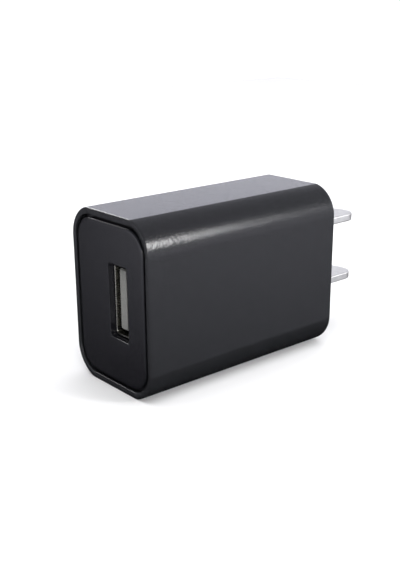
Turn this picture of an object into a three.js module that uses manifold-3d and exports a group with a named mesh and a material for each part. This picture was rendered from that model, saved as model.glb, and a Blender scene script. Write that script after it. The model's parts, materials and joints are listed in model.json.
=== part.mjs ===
// A USB wall charger with a fixed two-blade plug, built as the pieces it comes apart into. Millimetres.
//
// Frame: the origin is the middle of the plug face, where the charger meets the wall plate. +Y points out
// of that face along the blades, -Y towards the USB port, +Z is up as the charger stands on its narrow
// side, and +X is the wide side that the circuit board lies next to.
import * as THREE from "three";
import { mergeVertices } from "three/addons/utils/BufferGeometryUtils.js";
import Module from "manifold-3d";

const wasm = await Module();
wasm.setup();

// ---- driving dimensions -------------------------------------------------------------------------

const BODY = { width: 22.2, height: 31.8, length: 44.9, cornerRadius: 5.9, cornerSweep: 78 };
const BODY_EDGE = { front: 0.15, rear: 0.8, steps: 3 }; // radius of the rounding around each end
const FRONT = -BODY.length; // y of the front panel's flat
const FIT = 0.05; // gap between two pieces that rest on each other
const WALL = { side: 1.5, rear: 2 };
const RIM = { side: 0.95, top: 1.15, depth: 2.4, corner: 4.7 }; // the sleeve's edge around the panel
const PANEL = { groove: 0.6, grooveDepth: 1, rollWidth: 0.5, rollDrop: 0.15, rollSteps: 4, tabRoot: 0.6 };
const SNAP = { width: 14, reach: 3.6, thickness: 0.9, bump: 0.35, bumpLength: 1.2, ramp: 0.2, play: 0.1 };

const BLADE = { spacing: 12.7, width: 6.35, thickness: 1.52, length: 15.9, shoulder: 4.2 };
const BLADE_TAIL = { length: 8.6, width: 4.6 }; // the narrow end inside, which the clip grips
const BLADE_TIP = { radius: 2.6, edge: 0.25 };
const COLLAR = { width: 9.2, height: 4.8, depth: 4 }; // block that stiffens the rear wall around a blade

// Standard-A receptacle: the shell's inside, its sheet, and the tongue that the plug goes around.
const PORT = { x: 2.47, z: 0.6, thickness: 5.12, width: 12.5, corner: 0.4, sheet: 0.3, length: 12.95 };
const MOUTH = { x: PORT.x - 0.15, thickness: 5.35, width: 13.4, corner: 0.3 }; // the panel's cut-out
const LIP = { depth: 1.1, gap: 0.1, clearance: 0.3 }; // what the panel keeps in front of the shell
const TONGUE = { fromShell: 0.72, thickness: 1.84, width: 11.1, setBack: 1.7, chamfer: 0.25 };
const PORT_BLOCK = { length: 2.4, gap: 0.1, overlap: 0.5 };
const CONTACT = { width: 0.9, sheet: 0.25, depth: 1.2, crest: 0.4, rootGap: 0.1, places: [-3.5, -1, 1, 3.5] };
// The bends of a contact: how far each is from the root, and how far it stands from the strip or crest.
const CONTACT_BEND = { knee: 3, kneeRise: 0.15, crest: 6.7, tip: 8.3, tipRise: 0.2 };
const CREST = { before: 0.6, after: 0.4, drop: 0.1 };
const TERMINAL = { behind: 0.5, foot: 0.5, lead: 0.8 };
const GROOVE = { floor: 0.62, width: 1.3, rootWidth: 1, fromTip: 0.7 };
const SPRING = { width: 2.4, length: 4.4, fromMouth: 3, bump: 0.45, bumpAt: 3.2, end: 0.38, apart: 6.2 };
const SPRING_ROOT_BEND = { at: 0.6, rise: 0.04 };
const SLIT = { side: 0.35, root: 0.12 }; // width of the cut around a retention spring
const SHELL_LEG = { fromMouth: 8.95, width: 1.4, play: 0.2 };

const BOARD = { thickness: 1.2, height: 27, front: 2.6, rear: 5.5, corner: 1.2 };
const BARRIER = { from: -30.6, to: -27, z: -11.4, radius: 0.5 }; // milled slot between mains and output
const RAIL = { depth: 1, width: 0.8, gap: 0.12, shortLength: 10, fromShoulder: 2, sink: 0.5 };
const LEAD = { radius: 0.3, hole: 0.45, solder: 0.85, solderTop: 0.4, solderHeight: 0.6, tip: 1 };
const FILM = { thickness: 0.25, gap: 0.3, length: 31, height: 18.4, y: -21 };
const CLIP = { sheet: 0.35, length: 3.3, reach: 2.6, foot: 1.3, flare: 0.5, fromBoard: 0.4, grip: 0.02 };
const CLIP_BASE = { margin: 0.2, pinsApart: 2, pinFrom: 0.1 };

const TRANSFORMER = { y: -20.3, z: 5.4, coreWidth: 13, coreLength: 12, coreThickness: 6 };
const CORE = { centreLeg: 3, window: 10, windowDepth: 4.6, gap: 0.03 };
const BOBBIN = { wall: 0.6, flange: 0.6, flangeHeight: 10, play: 0.1 };
const COIL = { length: 7.6, play: 0.2, corner: 0.2, outside: { x: 4.3, z: 4.3, corner: 1 } };
const PIN_BLOCK = { length: 2.4, width: 12.4, pitch: 3, pins: 4, pinFrom: 0.6 };
const TAPE = { thickness: 0.2, gap: 0.05, corner: 0.2, coreWidth: 4.4, coreGap: 0.1 };

// Proportions that every part of a kind on the board shares.
const CAN = { lift: 0.3, topRoll: 0.8, footRoll: 0.3, beadAt: 1.8, beadHalf: 0.6, beadFlat: 0.2, bead: 0.35 };
const DISC = { flat: 0.7, shoulder: 0.93, lift: 0.9, leadInset: 0.6, leadFrom: 0.4 };
const AXIAL = { lift: 0.2, wire: 1.2, endRadius: 0.8, endCurve: 0.4, capEnd: 1.4, waist: 2 };
const GULL = { lift: 0.25, foot: 0.9, footFrom: 0.3, kneeFrom: 0.15, kneeTo: 0.4, sunk: 0.3, sheet: 0.2 };
const CHIP = { capShare: 0.18, inset: 0.04 };

// ---- derived places -----------------------------------------------------------------------------

const ARC_CENTRE = {
  x: BODY.width / 2 - BODY.cornerRadius,
  z: BODY.height / 2 - BODY.cornerRadius * Math.sin(THREE.MathUtils.degToRad(BODY.cornerSweep)),
};
const SHOULDER = FRONT + RIM.depth; // the sleeve's ledge that the panel lands on
const SHELL_FRONT = FRONT + LIP.depth + LIP.gap;
const SHELL_REAR = SHELL_FRONT + PORT.length;
const SHELL_LEFT = PORT.x - PORT.thickness / 2; // inside face on the -X side
const SHELL_RIGHT = PORT.x + PORT.thickness / 2;
const BOARD_TOP = SHELL_RIGHT + PORT.sheet + FIT; // component side, faces -X
const BOARD_BACK = BOARD_TOP + BOARD.thickness; // solder side, faces +X
const TONGUE_LEFT = SHELL_LEFT + TONGUE.fromShell;
const TONGUE_RIGHT = TONGUE_LEFT + TONGUE.thickness; // the face that carries the contacts
const TONGUE_FRONT = FRONT + TONGUE.setBack;
const BLOCK_FRONT = SHELL_REAR - PORT_BLOCK.length;
const SOLDER_END = BOARD_BACK + LEAD.tip;

// ---- materials ----------------------------------------------------------------------------------

const material = (color, roughness, metalness = 0) =>
  new THREE.MeshStandardMaterial({ color, roughness, metalness });

const MATERIALS = {
  shell: material(0x1b1c1f, 0.42),
  panel: material(0x1a1b1f, 0.48),
  nickel: material(0xd2d1cc, 0.24, 1),
  steel: material(0xb9b8b0, 0.32, 1),
  gold: material(0xd9b45a, 0.25, 1),
  bronze: material(0xc08a58, 0.35, 1),
  insulator: material(0xd9d8d0, 0.55),
  board: material(0x2f6b3a, 0.5),
  film: material(0xd8d2c0, 0.35),
  ferrite: material(0x2a2a2c, 0.7),
  bobbin: material(0x1d1d1f, 0.5),
  copper: material(0xb8683a, 0.35, 1),
  tape: material(0xe2b52c, 0.35),
  capSleeve: material(0x1f2a44, 0.4),
  ceramicBlue: material(0x2f6fa8, 0.5),
  resistorBody: material(0x5f8f6d, 0.55),
  chokeSleeve: material(0x3a5f3f, 0.5),
  epoxy: material(0x151517, 0.55),
  chip: material(0xe6e1d4, 0.6),
};

// ---- solids -------------------------------------------------------------------------------------

// A closed three.js geometry as a manifold-3d solid.
function solid(geometry) {
  const bare = geometry.index ? geometry.toNonIndexed() : geometry.clone();
  bare.deleteAttribute("normal");
  bare.deleteAttribute("uv");
  const merged = mergeVertices(bare, 1e-4);
  const corners = merged.index.array;
  const triangles = [];
  for (let i = 0; i < corners.length; i += 3) {
    const [a, b, c] = corners.slice(i, i + 3);
    if (a !== b && b !== c && c !== a) triangles.push(a, b, c);
  }
  return new wasm.Manifold(
    new wasm.Mesh({
      numProp: 3,
      vertProperties: merged.attributes.position.array,
      triVerts: new Uint32Array(triangles),
    }),
  );
}

const joined = (...solids) => solids.reduce((whole, next) => whole.add(next));

const cut = (body, ...tools) => tools.reduce((rest, tool) => rest.subtract(tool), body);

// A manifold-3d solid back as a three.js mesh.
function piece(name, body, finish) {
  const { numProp, vertProperties, triVerts } = body.getMesh();
  const positions = new Float32Array((vertProperties.length / numProp) * 3);
  for (let i = 0; i < positions.length / 3; i++) {
    positions.set(vertProperties.subarray(i * numProp, i * numProp + 3), i * 3);
  }
  const geometry = new THREE.BufferGeometry();
  geometry.setAttribute("position", new THREE.BufferAttribute(positions, 3));
  geometry.setIndex(new THREE.BufferAttribute(new Uint32Array(triVerts), 1));
  geometry.computeVertexNormals();
  const mesh = new THREE.Mesh(geometry, finish);
  mesh.name = name;
  return mesh;
}

const sorted = (a, b) => (a < b ? [a, b] : [b, a]);

const box = (x0, x1, y0, y1, z0, z1) =>
  solid(
    new THREE.BoxGeometry(x1 - x0, y1 - y0, z1 - z0).translate((x0 + x1) / 2, (y0 + y1) / 2, (z0 + z1) / 2),
  );

// Turns that carry a shape drawn in (u, v) and extruded along w into the part's axes.
const axes = (u, v, w) =>
  new THREE.Matrix4().makeBasis(new THREE.Vector3(...u), new THREE.Vector3(...v), new THREE.Vector3(...w));
const SHAPE_XZ = axes([1, 0, 0], [0, 0, 1], [0, -1, 0]);
const SHAPE_YZ = axes([0, 1, 0], [0, 0, 1], [1, 0, 0]);

// The same shape drawn with straight lines only, and with no two corners in one place.
function polygonal(shape, curveSegments) {
  const distinct = (points) => points.filter((point, i) => point.distanceTo(points.at(i - 1)) > 1e-4);
  const drawn = shape.extractPoints(curveSegments);
  const polygon = new THREE.Shape(distinct(drawn.shape));
  polygon.holes = drawn.holes.map((hole) => new THREE.Path(distinct(hole)));
  return polygon;
}

// A shape in (x, z), extruded from y0 to y1, with an optional rounded edge at both ends.
function alongY(shape, y0, y1, options = {}) {
  const { edge = 0, edgeWidth = edge, edgeSegments = 3, curveSegments = 7 } = options;
  const geometry = new THREE.ExtrudeGeometry(polygonal(shape, curveSegments), {
    depth: y1 - y0 - 2 * edge,
    bevelEnabled: edge > 0,
    bevelThickness: edge,
    bevelSize: edgeWidth,
    bevelOffset: -edgeWidth,
    bevelSegments: edgeSegments,
  });
  return solid(geometry.applyMatrix4(SHAPE_XZ).translate(0, y1 - edge, 0));
}

// A body through closed outlines in (x, z), from the lowest y to the highest. Each has as many corners.
function lofted(rings) {
  const count = rings[0].points.length;
  const corners = rings.flatMap(({ points, y }) => points.flatMap((point) => [point.x, y, point.y]));
  const indices = [];
  for (let start = 0; start < (rings.length - 1) * count; start += count) {
    for (let i = 0; i < count; i++) {
      const [a, b] = [start + i, start + ((i + 1) % count)];
      indices.push(a, a + count, b, b, a + count, b + count);
    }
  }
  const last = (rings.length - 1) * count;
  for (const [a, b, c] of THREE.ShapeUtils.triangulateShape(rings[0].points, [])) indices.push(a, b, c);
  for (const [a, b, c] of THREE.ShapeUtils.triangulateShape(rings.at(-1).points, [])) {
    indices.push(last + c, last + b, last + a);
  }
  const geometry = new THREE.BufferGeometry();
  geometry.setAttribute("position", new THREE.Float32BufferAttribute(corners, 3));
  geometry.setIndex(indices);
  return solid(geometry);
}

// A shape in (y, z), extruded from x0 to x1.
const alongX = (shape, x0, x1, curveSegments = 4) =>
  solid(
    new THREE.ExtrudeGeometry(polygonal(shape, curveSegments), { depth: x1 - x0, bevelEnabled: false })
      .applyMatrix4(SHAPE_YZ)
      .translate(x0, 0, 0),
  );

// A shape in (x, y), extruded from z0 to z1.
const alongZ = (shape, z0, z1, curveSegments = 4) =>
  solid(
    new THREE.ExtrudeGeometry(polygonal(shape, curveSegments), {
      depth: z1 - z0,
      bevelEnabled: false,
    }).translate(0, 0, z0),
  );

const LATHE_AXES = {
  x: axes([0, 1, 0], [1, 0, 0], [0, 0, -1]), // the lathe's axis becomes +X
  y: new THREE.Matrix4(),
  z: axes([1, 0, 0], [0, 0, 1], [0, -1, 0]), // the lathe's axis becomes +Z
};

// A turned body: profile is [radius, distance along the axis] from one end of the axis to the other.
function turned(profile, axis, at, segments = 16) {
  const points = profile.map(([radius, along]) => new THREE.Vector2(radius, along));
  const geometry = new THREE.LatheGeometry(points, segments).applyMatrix4(LATHE_AXES[axis]);
  return solid(geometry.translate(...at));
}

const rod = (axis, radius, length, at, segments = 8) =>
  turned([[0, 0], [radius, 0], [radius, length], [0, length]], axis, at, segments);

// ---- outlines -----------------------------------------------------------------------------------

// The body's cross-section in (x, z): flat sides run into arcs, and the arcs meet the flat top and bottom
// at a crease. The same arc centres serve every inset.
function bodyOutline(inset = 0) {
  const radius = BODY.cornerRadius - inset;
  const top = BODY.height / 2 - inset;
  const sweep = Math.asin(Math.min(1, (top - ARC_CENTRE.z) / radius));
  const { x, z } = ARC_CENTRE;
  return new THREE.Shape()
    .moveTo(x + radius, -z)
    .lineTo(x + radius, z)
    .absarc(x, z, radius, 0, sweep, false)
    .lineTo(-x - radius * Math.cos(sweep), top)
    .absarc(-x, z, radius, Math.PI - sweep, Math.PI, false)
    .lineTo(-x - radius, -z)
    .absarc(-x, -z, radius, Math.PI, Math.PI + sweep, false)
    .lineTo(x + radius * Math.cos(sweep), -top)
    .absarc(x, -z, radius, -sweep, 0, false);
}

// The rounded opening inside the rim, and the front cover's outlines drawn in from it.
const seatOutline = (inset = 0) =>
  roundedRectangle(
    BODY.width - 2 * (RIM.side + inset),
    BODY.height - 2 * (RIM.top + inset),
    RIM.corner - inset,
  );

function roundedRectangle(width, height, radius, u = 0, v = 0) {
  const [a, b] = [width / 2 - radius, height / 2 - radius];
  return new THREE.Shape()
    .absarc(u + a, v + b, radius, 0, Math.PI / 2, false)
    .absarc(u - a, v + b, radius, Math.PI / 2, Math.PI, false)
    .absarc(u - a, v - b, radius, Math.PI, 1.5 * Math.PI, false)
    .absarc(u + a, v - b, radius, 1.5 * Math.PI, 2 * Math.PI, false)
    .closePath();
}

// A bent strip of sheet as an outline: a centre line thickened to both sides.
function stripOutline(line, sheet) {
  const points = line.map(([u, v]) => new THREE.Vector2(u, v));
  const side = points.map((point, i) => {
    const before = points[Math.max(i - 1, 0)];
    const after = points[Math.min(i + 1, points.length - 1)];
    const along = after.clone().sub(before).normalize();
    return new THREE.Vector2(-along.y, along.x).multiplyScalar(sheet / 2);
  });
  const left = points.map((point, i) => point.clone().add(side[i]));
  const right = points.map((point, i) => point.clone().sub(side[i]));
  return new THREE.Shape([...right, ...left.reverse()]);
}

// ---- housing ------------------------------------------------------------------------------------

const bladeZ = [BLADE.spacing / 2, -BLADE.spacing / 2];

// A box around a blade's centre line: full width and height, between two places along it.
const aroundBlade = (z, width, height, y0, y1) =>
  box(-width / 2, width / 2, y0, y1, z - height / 2, z + height / 2);

const bladeSlot = (z) =>
  aroundBlade(z, BLADE.width + 2 * FIT, BLADE.thickness + 2 * FIT, -COLLAR.depth - 1, 1);

// Ribs along the top and bottom walls that the board slides in between.
function boardRails() {
  const [outer, inner] = [BODY.height / 2 - WALL.side + RAIL.sink, BOARD.height / 2 - RAIL.depth / 2];
  const behind = BOARD_BACK + RAIL.gap;
  const ahead = BOARD_TOP - RAIL.gap;
  const rear = -WALL.rear / 2;
  return [-1, 1].flatMap((side) => {
    const [z0, z1] = sorted(side * inner, side * outer);
    return [
      box(behind, behind + RAIL.width, SHOULDER + RAIL.fromShoulder, rear, z0, z1),
      box(ahead - RAIL.width, ahead, rear - RAIL.shortLength, rear, z0, z1),
    ];
  });
}

// Pockets in the side walls that the front cover's snap bumps drop into.
function snapPockets() {
  const end = SHOULDER + SNAP.reach + 2 * SNAP.play;
  const start = end - SNAP.bumpLength - 7 * SNAP.play;
  const wall = BODY.width / 2 - WALL.side;
  const half = SNAP.width / 2 + 3 * SNAP.play;
  return [-1, 1].map((side) => {
    const [x0, x1] = sorted(side * (wall - 1), side * (wall + SNAP.bump + SNAP.play));
    return box(x0, x1, start, end, -half, half);
  });
}

// The sleeve as a full block: a crisp edge around the panel, a softer one around the plug face.
function sleeveBlock() {
  const ring = (inset, y) => ({ points: polygonal(bodyOutline(inset), 9).getPoints(), y });
  const { front, rear, steps } = BODY_EDGE;
  const angles = Array.from({ length: steps + 1 }, (_, i) => (i / steps) * (Math.PI / 2));
  return lofted([
    ...angles.map((a) => ring(front * (1 - Math.sin(a)), FRONT + front * (1 - Math.cos(a)))),
    ...angles.map((a) => ring(rear * (1 - Math.cos(a)), rear * (Math.sin(a) - 1))),
  ]);
}

function housingSleeve() {
  const cavity = alongY(bodyOutline(WALL.side), FRONT - 1, -WALL.rear);
  const seat = alongY(seatOutline(), FRONT - 1, SHOULDER);
  const { width, height, depth } = COLLAR;
  const collars = bladeZ.map((z) => aroundBlade(z, width, height, -depth, -WALL.rear / 2));
  const hollow = joined(cut(sleeveBlock(), cavity, seat), ...boardRails(), ...collars);
  return cut(hollow, ...bladeZ.map(bladeSlot), ...snapPockets());
}

// ---- front cover --------------------------------------------------------------------------------

// A tab that reaches into the sleeve along one wide side, with a ramped bump at its end.
function snapTab(side) {
  const outer = side * (BODY.width / 2 - WALL.side - SNAP.play);
  const inner = outer - side * SNAP.thickness;
  const start = SHOULDER - PANEL.tabRoot;
  const end = SHOULDER + SNAP.reach;
  const profile = new THREE.Shape([
    new THREE.Vector2(inner, start),
    new THREE.Vector2(outer, start),
    new THREE.Vector2(outer, end - SNAP.bumpLength - SNAP.ramp),
    new THREE.Vector2(outer + side * SNAP.bump, end - SNAP.bumpLength),
    new THREE.Vector2(outer, end),
    new THREE.Vector2(inner, end),
  ]);
  return alongZ(profile, -SNAP.width / 2, SNAP.width / 2);
}

// A raised panel with a groove around it, on a flange that fills the sleeve's seat.
function frontCover() {
  const back = SHOULDER - FIT;
  const ring = (inset, y) => ({ points: polygonal(seatOutline(inset), 8).getPoints(), y });
  // The panel's flat rolls over into the groove like a quarter of an ellipse.
  const crown = Array.from({ length: PANEL.rollSteps + 1 }, (_, i) => {
    const angle = (i / PANEL.rollSteps) * (Math.PI / 2);
    const inset = PANEL.groove + PANEL.rollWidth * (1 - Math.sin(angle));
    return ring(inset, FRONT + PANEL.rollDrop * (1 - Math.cos(angle)));
  });
  const grooveFloor = FRONT + PANEL.grooveDepth;
  const plate = lofted([...crown, ring(PANEL.groove, grooveFloor), ring(FIT, grooveFloor), ring(FIT, back)]);
  const mouth = alongY(
    roundedRectangle(MOUTH.thickness, MOUTH.width, MOUTH.corner, MOUTH.x, PORT.z),
    FRONT - 1,
    back + 1,
    { curveSegments: 2 },
  );
  const spare = PORT.sheet + LIP.clearance;
  const [seatThickness, seatWidth] = [PORT.thickness + 2 * spare, PORT.width + 2 * spare];
  const shellSeat = alongY(
    roundedRectangle(seatThickness, seatWidth, PORT.corner + spare, PORT.x, PORT.z),
    FRONT + LIP.depth,
    back + 1,
    { curveSegments: 2 },
  );
  return cut(joined(plate, snapTab(1), snapTab(-1)), mouth, shellSeat);
}

// ---- plug blades --------------------------------------------------------------------------------

// Flat blade in (x, y): narrow tail, full width from the rear wall out, and a rounded nose.
function plugBlade(z) {
  const [half, tail, radius] = [BLADE.width / 2, BLADE_TAIL.width / 2, BLADE_TIP.radius];
  const nose = BLADE.length - radius;
  const outline = new THREE.Shape()
    .moveTo(-tail, -BLADE_TAIL.length)
    .lineTo(tail, -BLADE_TAIL.length)
    .lineTo(tail, -BLADE.shoulder)
    .lineTo(half, -BLADE.shoulder)
    .absarc(half - radius, nose, radius, 0, Math.PI / 2, false)
    .absarc(radius - half, nose, radius, Math.PI / 2, Math.PI, false)
    .lineTo(-half, -BLADE.shoulder)
    .lineTo(-tail, -BLADE.shoulder)
    .closePath();
  const geometry = new THREE.ExtrudeGeometry(polygonal(outline, 8), {
    depth: BLADE.thickness - 2 * BLADE_TIP.edge,
    bevelEnabled: true,
    bevelThickness: BLADE_TIP.edge,
    bevelSize: BLADE_TIP.edge,
    bevelOffset: -BLADE_TIP.edge,
    bevelSegments: 2,
  }).translate(0, 0, z - BLADE.thickness / 2 + BLADE_TIP.edge);
  return solid(geometry);
}

// Fork on the board that grips a blade's tail from both sides.
function bladeClip(z) {
  const rear = -BOARD.rear - CLIP.fromBoard;
  const front = rear - CLIP.length;
  const foot = BOARD_TOP - FIT;
  const grip = BLADE.thickness / 2 + CLIP.grip + CLIP.sheet / 2;
  const arms = [-1, 1].map((side) => {
    const line = [
      [foot, z + side * CLIP.foot],
      [foot - CLIP.foot, z + side * (grip + CLIP.flare / 2)],
      [0, z + side * grip],
      [-CLIP.reach, z + side * (grip + CLIP.flare)],
    ];
    return alongY(stripOutline(line, CLIP.sheet), front, rear);
  });
  const half = CLIP.foot + CLIP_BASE.margin;
  const base = box(foot - CLIP.sheet, foot, front, rear, z - half, z + half);
  const pins = [-0.5, 0.5].map((place) =>
    lead((rear + front) / 2 + place * CLIP_BASE.pinsApart, z, foot - CLIP_BASE.pinFrom),
  );
  return joined(base, ...arms, ...pins);
}

// ---- board --------------------------------------------------------------------------------------

const leadHoles = []; // [y, z] of every lead, so that the board can be drilled for them

// A lead that goes through the board and ends in its solder cone.
function lead(y, z, from) {
  leadHoles.push([y, z]);
  const solderFoot = BOARD_BACK + FIT - from;
  const profile = [
    [0, 0],
    [LEAD.radius, 0],
    [LEAD.radius, solderFoot],
    [LEAD.solder, solderFoot],
    [LEAD.solderTop, solderFoot + LEAD.solderHeight],
    [LEAD.radius, SOLDER_END - from],
    [0, SOLDER_END - from],
  ];
  return turned(profile, "x", [from, y, z], 10);
}

function circuitBoard() {
  const outline = roundedRectangle(
    -BOARD.rear - (FRONT + BOARD.front),
    BOARD.height,
    BOARD.corner,
    (FRONT + BOARD.front - BOARD.rear) / 2,
    0,
  );
  for (const [y, z] of leadHoles) {
    outline.holes.push(new THREE.Path().absarc(y, z, LEAD.hole, 0, 2 * Math.PI));
  }
  outline.holes.push(
    new THREE.Path()
      .absarc(BARRIER.from, BARRIER.z, BARRIER.radius, Math.PI / 2, 1.5 * Math.PI)
      .absarc(BARRIER.to, BARRIER.z, BARRIER.radius, 1.5 * Math.PI, 2.5 * Math.PI),
  );
  return alongX(outline, BOARD_TOP, BOARD_BACK);
}

function insulatingFilm() {
  const x = BODY.width / 2 - WALL.side - FILM.gap;
  return alongX(roundedRectangle(FILM.length, FILM.height, 1, FILM.y, 0), x - FILM.thickness, x);
}

// ---- USB port -----------------------------------------------------------------------------------

const WALLS = [
  { side: -1, face: SHELL_LEFT - PORT.sheet / 2 },
  { side: 1, face: SHELL_RIGHT + PORT.sheet / 2 },
];
const springZ = [PORT.z - SPRING.apart / 2, PORT.z + SPRING.apart / 2];
const SPRING_ROOT = SHELL_FRONT + SPRING.fromMouth;

// The opening in a wide wall that a retention spring moves in.
const springWindow = ({ face }, z) =>
  box(
    face - PORT.sheet,
    face + PORT.sheet,
    SPRING_ROOT - SLIT.root,
    SPRING_ROOT + SPRING.length + SLIT.side,
    z - SPRING.width / 2 - SLIT.side,
    z + SPRING.width / 2 + SLIT.side,
  );

// Leaf that presses on the plug: it leans into the port from its front end, which is its root.
function retentionSpring({ side, face }, z) {
  const line = [
    [face, SPRING_ROOT],
    [face - side * SPRING_ROOT_BEND.rise, SPRING_ROOT + SPRING_ROOT_BEND.at],
    [face - side * SPRING.bump, SPRING_ROOT + SPRING.bumpAt],
    [face - side * SPRING.end, SPRING_ROOT + SPRING.length],
  ];
  return alongZ(stripOutline(line, PORT.sheet), z - SPRING.width / 2, z + SPRING.width / 2);
}

function portShell() {
  const outline = (grow) =>
    roundedRectangle(PORT.thickness + 2 * grow, PORT.width + 2 * grow, PORT.corner + grow, PORT.x, PORT.z);
  const outer = alongY(outline(PORT.sheet), SHELL_FRONT, SHELL_REAR, { curveSegments: 3 });
  const inner = alongY(outline(0), SHELL_FRONT - 1, SHELL_REAR + 1, { curveSegments: 3 });
  const windows = WALLS.flatMap((wall) => springZ.map((z) => springWindow(wall, z)));
  return joined(cut(outer, inner, ...windows), ...shellLegs(0));
}

// The shell's two legs, which go through the board. With some play they are the slots for them.
function shellLegs(play) {
  const y = SHELL_FRONT + SHELL_LEG.fromMouth;
  const half = PORT.sheet / 2 + play;
  return [-1, 1].map((side) => {
    const z = PORT.z + (side * (PORT.width + PORT.sheet)) / 2;
    return box(SHELL_RIGHT - 1, SOLDER_END, y - play, y + SHELL_LEG.width + play, z - half, z + half);
  });
}

// Tongue with four grooves on its contact side, standing on the block that closes the shell's back.
function portInsulator() {
  const [half, chamfer] = [TONGUE.width / 2, TONGUE.chamfer];
  const tongue = alongX(
    new THREE.Shape()
      .moveTo(BLOCK_FRONT + PORT_BLOCK.overlap, PORT.z - half)
      .lineTo(BLOCK_FRONT + PORT_BLOCK.overlap, PORT.z + half)
      .lineTo(TONGUE_FRONT + chamfer, PORT.z + half)
      .lineTo(TONGUE_FRONT, PORT.z + half - chamfer)
      .lineTo(TONGUE_FRONT, PORT.z - half + chamfer)
      .lineTo(TONGUE_FRONT + chamfer, PORT.z - half)
      .closePath(),
    TONGUE_LEFT,
    TONGUE_RIGHT,
  );
  const block = alongY(
    roundedRectangle(
      PORT.thickness - 2 * PORT_BLOCK.gap,
      PORT.width - 2 * PORT_BLOCK.gap,
      PORT.corner,
      PORT.x,
      PORT.z,
    ),
    BLOCK_FRONT,
    SHELL_REAR - FIT,
    { curveSegments: 2 },
  );
  const grooves = CONTACT.places.flatMap((place) => {
    const z = PORT.z + place;
    const floor = TONGUE_LEFT + GROOVE.floor;
    const slot = (x1, y0, y1, width) => box(floor, x1, y0, y1, z - width / 2, z + width / 2);
    return [
      slot(TONGUE_RIGHT + 1, TONGUE_FRONT + GROOVE.fromTip, BLOCK_FRONT, GROOVE.width),
      slot(TONGUE_RIGHT, BLOCK_FRONT - 1, SHELL_REAR + 1, GROOVE.rootWidth),
    ];
  });
  return cut(joined(tongue, block), ...grooves);
}

const CONTACT_ROOT = BLOCK_FRONT - 2.5 * CONTACT.rootGap;
const CONTACT_X = TONGUE_LEFT + CONTACT.depth;

// Moving end of a contact: it rises out of its groove to the point that the plug's pad rubs on.
function contactBeam(place) {
  const crest = TONGUE_RIGHT + CONTACT.crest;
  const bend = CONTACT_BEND;
  const line = [
    [CONTACT_X, CONTACT_ROOT],
    [CONTACT_X + bend.kneeRise, CONTACT_ROOT - bend.knee],
    [crest - CREST.drop, CONTACT_ROOT - bend.crest + CREST.before],
    [crest, CONTACT_ROOT - bend.crest],
    [crest - CREST.drop, CONTACT_ROOT - bend.crest - CREST.after],
    [CONTACT_X + bend.tipRise, CONTACT_ROOT - bend.tip],
  ];
  const z = PORT.z + place;
  return alongZ(stripOutline(line, CONTACT.sheet), z - CONTACT.width / 2, z + CONTACT.width / 2);
}

// Fixed end of a contact: through the block, then down to the board.
function contactTerminal(place) {
  const z = PORT.z + place;
  const [half, bend] = [CONTACT.width / 2, SHELL_REAR + TERMINAL.behind];
  const through = box(
    CONTACT_X - CONTACT.sheet / 2,
    CONTACT_X + CONTACT.sheet / 2,
    CONTACT_ROOT + CONTACT.rootGap,
    bend + CONTACT.sheet / 2,
    z - half,
    z + half,
  );
  const down = box(
    CONTACT_X - CONTACT.sheet / 2,
    BOARD_TOP - TERMINAL.foot,
    bend - CONTACT.sheet / 2,
    bend + CONTACT.sheet / 2,
    z - half,
    z + half,
  );
  return joined(through, down, lead(bend, z, BOARD_TOP - TERMINAL.lead));
}

// ---- transformer --------------------------------------------------------------------------------

// Box around the transformer's centre, half sizes in x, then ranges in y and z.
const T = { x: BOARD_TOP - 3 * FIT - BOBBIN.flangeHeight / 2, y: TRANSFORMER.y, z: TRANSFORMER.z };
const around = (halfX, y0, y1, halfZ) =>
  box(T.x - halfX, T.x + halfX, T.y + y0, T.y + y1, T.z - halfZ, T.z + halfZ);

// One E-shaped ferrite half, open towards the other one.
function ferriteHalf(side) {
  const range = (a, b) => sorted(side * a, side * b);
  const thick = TRANSFORMER.coreThickness / 2;
  const whole = around(thick, ...range(CORE.gap, TRANSFORMER.coreLength / 2), TRANSFORMER.coreWidth / 2);
  const window = around(thick + 1, ...range(-1, CORE.windowDepth), CORE.window / 2);
  const leg = around(thick, ...range(CORE.gap, CORE.windowDepth + CORE.gap), CORE.centreLeg / 2);
  return joined(cut(whole, window), leg);
}

function bobbin() {
  const [halfX, halfZ] = [TRANSFORMER.coreThickness / 2 + BOBBIN.play, CORE.centreLeg / 2 + BOBBIN.play];
  const end = CORE.windowDepth - BOBBIN.play;
  const tube = around(halfX + BOBBIN.wall, -end, end, halfZ + BOBBIN.wall);
  const flanges = [-1, 1].map((side) => {
    const [y0, y1] = sorted(side * (end - BOBBIN.flange), side * end);
    return around(BOBBIN.flangeHeight / 2, y0, y1, CORE.window / 2 - 2 * BOBBIN.play);
  });
  const legHole = around(halfX, -TRANSFORMER.coreLength, TRANSFORMER.coreLength, halfZ);
  return joined(cut(joined(tube, ...flanges), legHole), pinBlock(-1), pinBlock(1));
}

// Row of pins under one end of the core, standing on the board.
function pinBlock(side) {
  const top = T.x + TRANSFORMER.coreThickness / 2 + BOBBIN.play;
  const start = CORE.windowDepth - BOBBIN.flange / 2;
  const end = CORE.windowDepth + PIN_BLOCK.length;
  const [y0, y1] = sorted(T.y + side * start, T.y + side * end);
  const half = PIN_BLOCK.width / 2;
  const block = box(top, BOARD_TOP - FIT, y0, y1, T.z - half, T.z + half);
  const pins = Array.from({ length: PIN_BLOCK.pins }, (_, i) => {
    const z = T.z + (i - (PIN_BLOCK.pins - 1) / 2) * PIN_BLOCK.pitch;
    return lead(T.y + (side * (start + end)) / 2, z, BOARD_TOP - PIN_BLOCK.pinFrom);
  });
  return joined(block, ...pins);
}

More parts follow.
